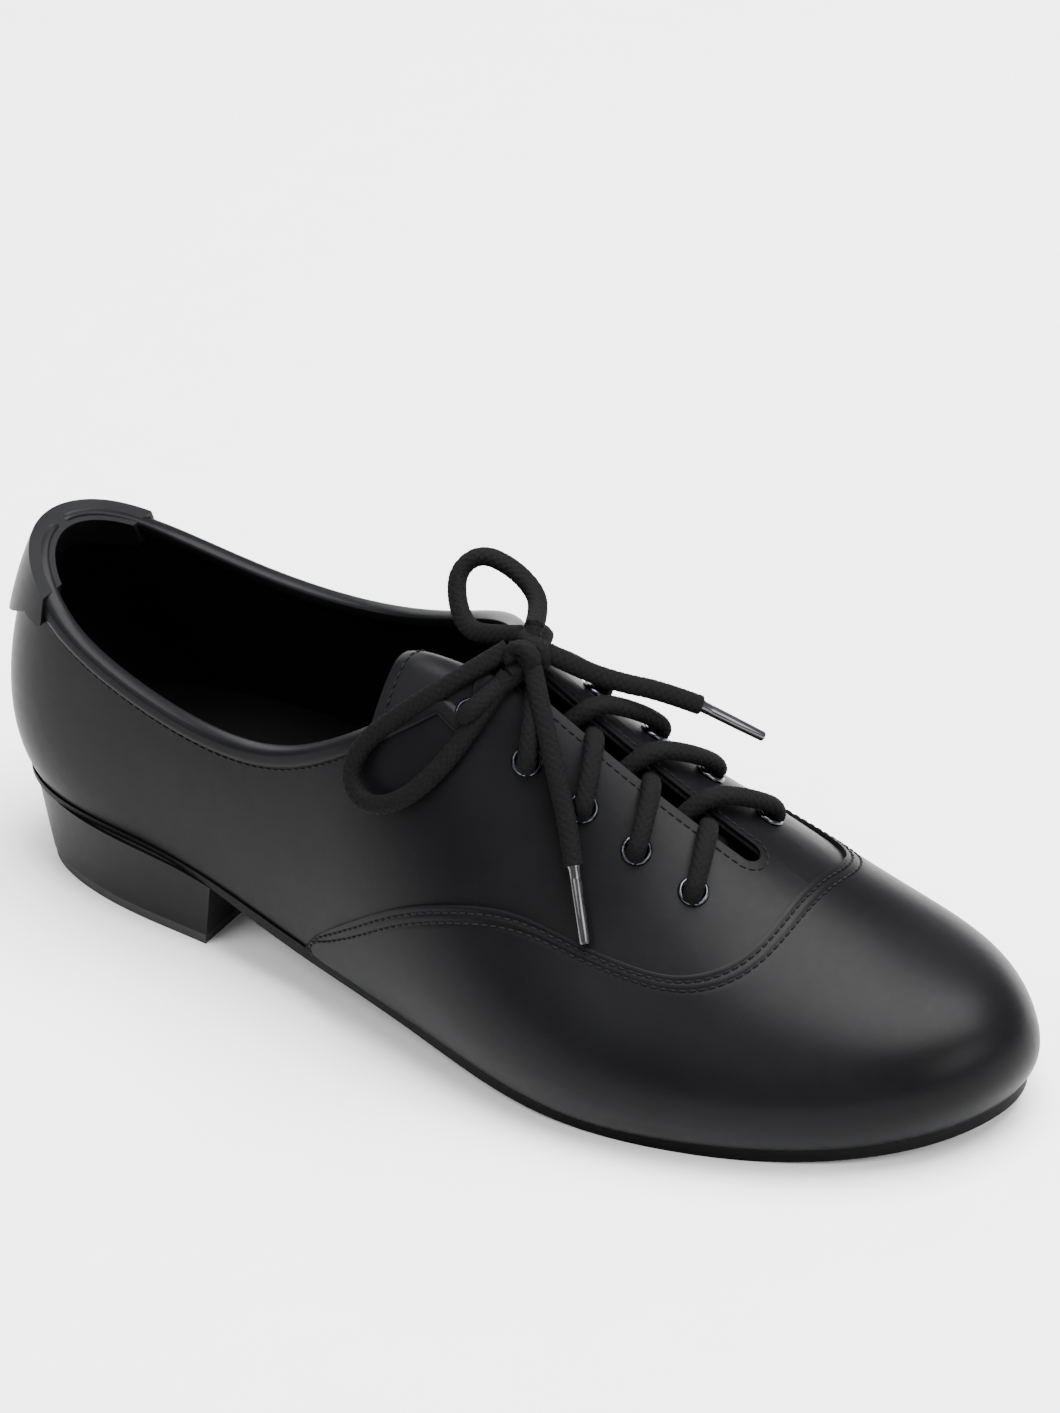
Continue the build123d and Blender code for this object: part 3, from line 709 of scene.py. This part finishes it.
def bindingPiece():
    # ring by ring: up the outer face, over the top and down inside, from the leather's own edge
    inside = np.array([tuple(outwards(p)) for p in topRim])
    inside[:, 2] = 0
    inside = unit(relaxed(-unit(inside), 12))
    _, normals = nearest(skins["quarters"], topRim - np.array((0, 0, roll["drop"] * mm)))
    down = np.cross(relaxed(normals, 8), np.gradient(topRim, axis=0))
    down = unit(down * -np.sign(down[:, 2:]))
    half, face = roll["deep"] / 2, roll["face"]
    # pairs of inwards, down in millimetres
    profile = [(-0.15, 2.75), (-0.95, 2.55), (-1.15, 2.1), (-face - roll["bulge"] * 0.4, 1.2), (-face, 0.2)]
    for a in np.linspace(180, 0, 9):
        profile.append((half - face + (half + roll["slack"]) * math.cos(math.radians(a)),
                        -roll["low"] - roll["lift"] * math.sin(math.radians(a))))
    profile += [(2 * half - 1.0, 1.2), (2 * half - 1.1, 2.4), (2 * half - 1.9, 2.7), (half - 0.9, 1.4)]
    rings = []
    for p, i, d in zip(topRim, inside, down):
        rings.append([p + i * s * mm + d * h * mm for s, h in profile])
    rings = np.array(rings)
    count = len(profile)
    faces = []
    for r in range(len(rings) - 1):
        for k in range(count):
            a, b = r * count + k, r * count + (k + 1) % count
            faces.append((a, b, b + count, a + count))
    faces.append(tuple(range(count))[::-1])
    faces.append(tuple((len(rings) - 1) * count + k for k in range(count)))
    piece = pieceFrom("collarBinding", [tuple(p) for p in rings.reshape(-1, 3)], faces)
    finishPiece(piece, finish["binding"], "black_leather", "collar_binding", sharp=75)


bindingPiece()
tongueRow = {"centre": (30.0, -1.0), "front": 26, "in": 2.8}
tongueCentre = np.array(tongueRow["centre"]) * mm
tongueRim = np.vstack(rims("tongue"))
tongueEnd = aroundBy(tongueRim[tongueRim[:, 0] < tongueRow["front"] * mm], tongueCentre, 220, 60)
tongueEnd = relaxed(evenly(tongueEnd, 200), 12)
tonguePlan = tongueEnd[:, :2] + unit(tongueCentre - tongueEnd[:, :2]) * tongueRow["in"] * mm
tongueHits = [downOn(skins["tongue"], x, y) for x, y in tonguePlan]
tongueHits = [(tuple(hit), tuple(way)) for hit, way in tongueHits if hit is not None and way.z > 0.2]
addStitches("tongueStitches", [(np.array([h for h, _ in tongueHits]), np.array([w for _, w in tongueHits]))])
addStitches("vampStitches", stitchLines)
addStitches("quarterStitches", [(bindingRow, bindingWays), slitRow(1.9)])
print("stitched")


# ---- eyelets: a rolled ring on the face and a short barrel down through the leather ----
ring = {"flange": 3.85, "hole": 2.45, "dome": 0.85, "barrel": 2.6, "wall": 0.3, "lip": 0.6, "around": 40}


def eyeletSpots():
    # centre and way of each eyelet, from the round rims in the node
    net = bmesh.new()
    net.from_mesh(nodes["eyelets"].data)
    bmesh.ops.remove_doubles(net, verts=net.verts, dist=0.000005)
    # a dictionary keeps its order, so each run finds the rings in the same order
    left = dict.fromkeys(net.verts)
    spots = []
    while left:
        group, edge = [], [left.popitem()[0]]
        while edge:
            v = edge.pop()
            group.append(v)
            for e in v.link_edges:
                o = e.other_vert(v)
                if o in left:
                    del left[o]
                    edge.append(o)
        points = np.array([tuple(v.co) for v in group])
        centre = points.mean(axis=0)
        _, axes = np.linalg.eigh(np.cov((points - centre).T))
        reach = [np.abs((points - centre) @ axes[:, k]).max() for k in range(3)]
        # the ring's own axis is the one whose other two reach equally far
        pick = min(range(3), key=lambda k: abs(reach[(k + 1) % 3] - reach[(k + 2) % 3]))
        axis = axes[:, pick]
        if axis @ np.array(outwards(centre)) < 0:
            axis = -axis
        top = ((points - centre) @ axis).max()
        spots.append((centre + axis * (top - ring["lip"] * mm), axis))
    net.free()
    return spots


def eyeletRing(spot, axis):
    profile = []
    hole, flange = ring["hole"], ring["flange"]
    for a in np.linspace(0, 180, 9):
        profile.append(((flange + hole) / 2 + (flange - hole) / 2 * math.cos(math.radians(a)),
                        0.05 + ring["dome"] * math.sin(math.radians(a))))
    profile += [(hole - 0.02, -0.6), (hole, -ring["barrel"]), (hole + ring["wall"], -ring["barrel"]),
                (hole + ring["wall"], -0.25), (flange - 0.15, -0.2)]
    verts, faces = [], []
    turn = Vector(axis).to_track_quat("Z", "Y").to_matrix()
    count, around = len(profile), ring["around"]
    for k in range(around):
        a = 2 * math.pi * k / around
        for r, z in profile:
            verts.append(tuple(Vector(spot) + turn @ Vector((r * math.cos(a), r * math.sin(a), z)) * mm))
        for i in range(count):
            after, beyond = (i + 1) % count, (k + 1) % around * count
            faces.append((k * count + i, beyond + i, beyond + after, k * count + after))
    return pieceFrom("eyelet", verts, faces)


spotsOf = eyeletSpots()
rings = [eyeletRing(spot, axis) for spot, axis in spotsOf]
eyelets = joined("eyeletRings", rings)
finishPiece(eyelets, finish["ring"], "eyelet_metal", "eyelets", sharp=70)
print("eyelets set", len(spotsOf))

# ---- lace ----
lace = {"across": 4.7, "thick": 3.9, "around": 28, "step": 0.32}
braid = {"strands": 7, "pitch": 2.1, "relief": 0.16, "cellsRound": 12, "cellLength": 1.2}
laceOutline = oval(lace["across"], lace["thick"], lace["around"])


def laceLine(points):
    rough = throughPoints(points, 400)
    return evenly(rough, int(lengthOf(rough) / (lace["step"] * mm)) + 2)


def eyeletOrder(side):
    # the five on one side (-1 near, 1 far), from the toe end to the top
    own = [s for s in spotsOf if (s[0][1] - slitMiddle(s[0][0])) * side > 0]
    return sorted(own, key=lambda s: -s[0][0])


rows = {-1: eyeletOrder(-1), 1: eyeletOrder(1)}
laceHeight = {"over": 2.9, "under": 4.9, "shift": 2.2, "beside": 5.0, "crossing": 1.4}


def slitSpot(x, side, height):
    # beside the slit, or in its middle for side 0
    sides = [side] if side else [-1, 1]
    found = [downOn(skins["quarters"], x, slitMiddle(x) + s * laceHeight["beside"] * mm) for s in sides]
    spot = np.mean([tuple(hit) for hit, _ in found], axis=0)
    way = np.mean([tuple(way * (1 if way.z > 0 else -1)) for _, way in found], axis=0)
    way /= np.linalg.norm(way)
    return spot + way * height * mm, way


def lacingHalf(side):
    points, ways = [], []

    def put(spot, way):
        points.append(spot)
        ways.append(way)

    first = rows[side][0]
    shift = laceHeight["shift"] * mm
    put(*slitSpot(first[0][0] - 3 * mm, 0, -laceHeight["under"] - 0.6))
    put(first[0] - first[1] * laceHeight["under"] * mm, first[1])
    for k in range(4):
        low, high = rows[side][k], rows[-side][k + 1]
        middle = (low[0][0] + high[0][0]) / 2 - side * shift
        put(low[0] + low[1] * laceHeight["over"] * mm, low[1])
        put(*slitSpot(middle + laceHeight["crossing"] * mm, side, laceHeight["over"]))
        side = -side
        put(*slitSpot(middle - laceHeight["crossing"] * mm, side, -laceHeight["under"]))
        put(high[0] - high[1] * laceHeight["under"] * mm, high[1])
    last = rows[side][4]
    put(last[0] + last[1] * laceHeight["over"] * mm, last[1])
    put(np.array(tuple(fromHeel(160.5, -12 + 1.5 * side, 97.5))), np.array((0.3, -0.3, 0.9)))
    return np.array(points), np.array(ways)


def matched(points, ways, line):
    # the way at each step of a line, from the ways at its control points
    at = [int(np.argmin(np.linalg.norm(line - p, axis=1))) for p in points]
    for i in range(1, len(at)):
        at[i] = max(at[i], at[i - 1] + 1)
    return np.stack([np.interp(np.arange(len(line)), at, ways[:, k]) for k in range(3)], axis=1)


for name, side, node in (("lacingOuter", -1, "lace_lacing_outer"), ("lacingInner", 1, "lace_lacing_inner")):
    points, ways = lacingHalf(side)
    line = laceLine(points)
    piece = sweptMesh(name, line, matched(points, ways, line), laceOutline, braid)
    finishPiece(piece, finish["lace"], "lace_cotton", node, sharp=80)
    print(name, round(lengthOf(line) * 1000), len(piece.data.polygons))


def cordRoute(points):
    # the line of a NURBS spline drawn through listed points
    curve = bpy.data.curves.new("route", "CURVE")
    curve.dimensions = "3D"
    curve.resolution_u = 24
    spline = curve.splines.new("NURBS")
    spline.points.add(len(points) - 1)
    for point, place in zip(spline.points, points):
        point.co = (*place, 1)
    spline.order_u = 3
    spline.use_endpoint_u = True
    holder = bpy.data.objects.new("route", curve)
    bpy.context.scene.collection.objects.link(holder)
    bpy.context.view_layer.update()
    mesh = bpy.data.meshes.new_from_object(holder)
    line = np.array([tuple(v.co) for v in mesh.vertices])
    bpy.data.objects.remove(holder)
    bpy.data.meshes.remove(mesh)
    return evenly(line, int(lengthOf(line) / (lace["step"] * mm)) + 2)


routes = {
    "loopNear": [(156.5, -13.5, 101.5), (149, -22, 96.5), (138, -30, 88.5), (127.5, -36, 79),
                 (125.5, -40, 70.5), (131.5, -42.5, 66), (141, -42, 69), (149.5, -36, 77.5), (155, -27, 88),
                 (158.5, -17, 97)],
    "loopFar": [(157, -9, 103), (149, -9, 100.5), (140.5, -7, 98), (134, -2, 101), (130.5, 4, 106),
                (134.5, 9, 109.5), (143, 10, 107), (151, 7.5, 103.5), (155.5, 1, 102.5), (159, -6, 104)],
    "endNear": [(163.5, -14, 98.5), (169, -19.5, 91.5), (176.5, -26, 80), (182.5, -31, 69.5),
                (186.5, -35.5, 62)],
    "endFar": [(164, -8.5, 100), (170, -3, 93.5), (177, 3, 88.5), (184, 9, 85), (191, 15, 79.5)],
}
tips = {"endNear": (194.5, -44.5, 47.5), "endFar": (203.5, 23, 69.5)}
tipAround = 24


def agletPiece(side, start, stop):
    # turned from pairs of radius, distance along in millimetres: a crimped collar and a slim tapered tip
    end = (stop - start).length / mm
    outline = [(1.5, -1.8), (1.74, -1.4), (1.7, 0.2), (1.46, 0.9), (1.42, 2.6), (1.34, 2.9), (1.4, 3.3),
               (1.34, end * 0.6), (1.26, end - 0.6), (1.1, end - 0.15), (0.75, end)]
    turn = (stop - start).normalized().to_track_quat("Z", "Y").to_matrix()
    verts, faces = [], []
    for r, z in outline:
        for k in range(tipAround):
            a = 2 * math.pi * k / tipAround
            verts.append(tuple(start + turn @ Vector((r * math.cos(a), r * math.sin(a), z)) * mm))
    last = (len(outline) - 1) * tipAround
    for i in range(0, last, tipAround):
        for k in range(tipAround):
            a, b = i + k, i + (k + 1) % tipAround
            faces.append((a, b, b + tipAround, a + tipAround))
    faces.append(tuple(range(tipAround))[::-1])
    faces.append(tuple(last + k for k in range(tipAround)))
    piece = pieceFrom("aglet" + side, verts, faces)
    finishPiece(piece, finish["tip"], "aglet_plastic", "aglet_" + side.lower())
    return piece


for name, tip in tips.items():
    agletPiece(name[3:], fromHeel(*routes[name][-1]), fromHeel(*tip))

cordNodes = {"loopNear": "lace_loop_near", "loopFar": "lace_loop_far", "endNear": "lace_end_near",
             "endFar": "lace_end_far"}
for name, hand in routes.items():
    line = cordRoute([tuple(fromHeel(*p)) for p in hand])
    # the lace's narrow way starts out upwards, leaning to the outer side
    ups = carriedUp(line, (0.35, -0.6, 0.7))
    piece = sweptMesh(name, line, ups, laceOutline, braid)
    finishPiece(piece, finish["lace"], "lace_cotton", cordNodes[name], sharp=80)
    print(name, round(lengthOf(line) * 1000, 1), len(piece.data.polygons))

# ---- knot: two turns of the lace wrapped round the crossing strands ----
knot = {"centre": (161, -12, 100.0), "axis": (0.2, 1.0, -0.25), "radius": 2.7, "turns": 1.9, "climb": 3.9,
        "start": 2.4, "pinch": 0.45, "pinchFrom": 0.8, "steps": 120, "rings": 130,
        "wrapOval": (4.6, 3.4), "strandOval": (4.4, 3.6)}
crossings = (((156.5, -13.5, 101.5), (159.5, -12.8, 101.0), (163.5, -14, 98.5)),
             ((157, -9, 103), (161, -9.5, 101.6), (164, -8.5, 100)),
             ((158.5, -17, 97), (160.5, -13, 98.4), (159, -6, 104)))


def wrapPiece():
    # a helix about the knot's axis, drawn in at both ends
    axis = Vector(knot["axis"]).normalized()
    first = axis.cross(Vector((0, 0, 1))).normalized()
    second = axis.cross(first)
    wrap, ways = [], []
    for t in np.linspace(0, 1, knot["steps"]):
        a = 2 * math.pi * knot["turns"] * t + knot["start"]
        out = first * math.cos(a) + second * math.sin(a)
        pinch = max(0.0, abs(t - 0.5) * 2 - knot["pinchFrom"]) / (1 - knot["pinchFrom"])
        reach = knot["radius"] * (1 - knot["pinch"] * pinch) * mm
        climb = (t - 0.5) * knot["climb"] * knot["turns"] * mm
        wrap.append(tuple(fromHeel(*knot["centre"]) + out * reach + axis * climb))
        ways.append(tuple(out))
    line = evenly(np.array(wrap), knot["rings"])
    last = knot["steps"] - 1
    picks = [min(int(i * knot["steps"] / knot["rings"]), last) for i in range(knot["rings"])]
    ups = np.array([ways[k] for k in picks])
    return sweptMesh("wrap", line, ups, oval(*knot["wrapOval"], lace["around"]), braid)


wraps = [wrapPiece()]
for strand in crossings:
    line = laceLine([tuple(fromHeel(*p)) for p in strand])
    outline = oval(*knot["strandOval"], lace["around"])
    wraps.append(sweptMesh("strand", line, carriedUp(line, (0, 0, 1)), outline, braid))
knotPiece = joined("laceKnot", wraps)
finishPiece(knotPiece, finish["lace"], "lace_cotton", "lace_knot", sharp=80)
print("knot tied")
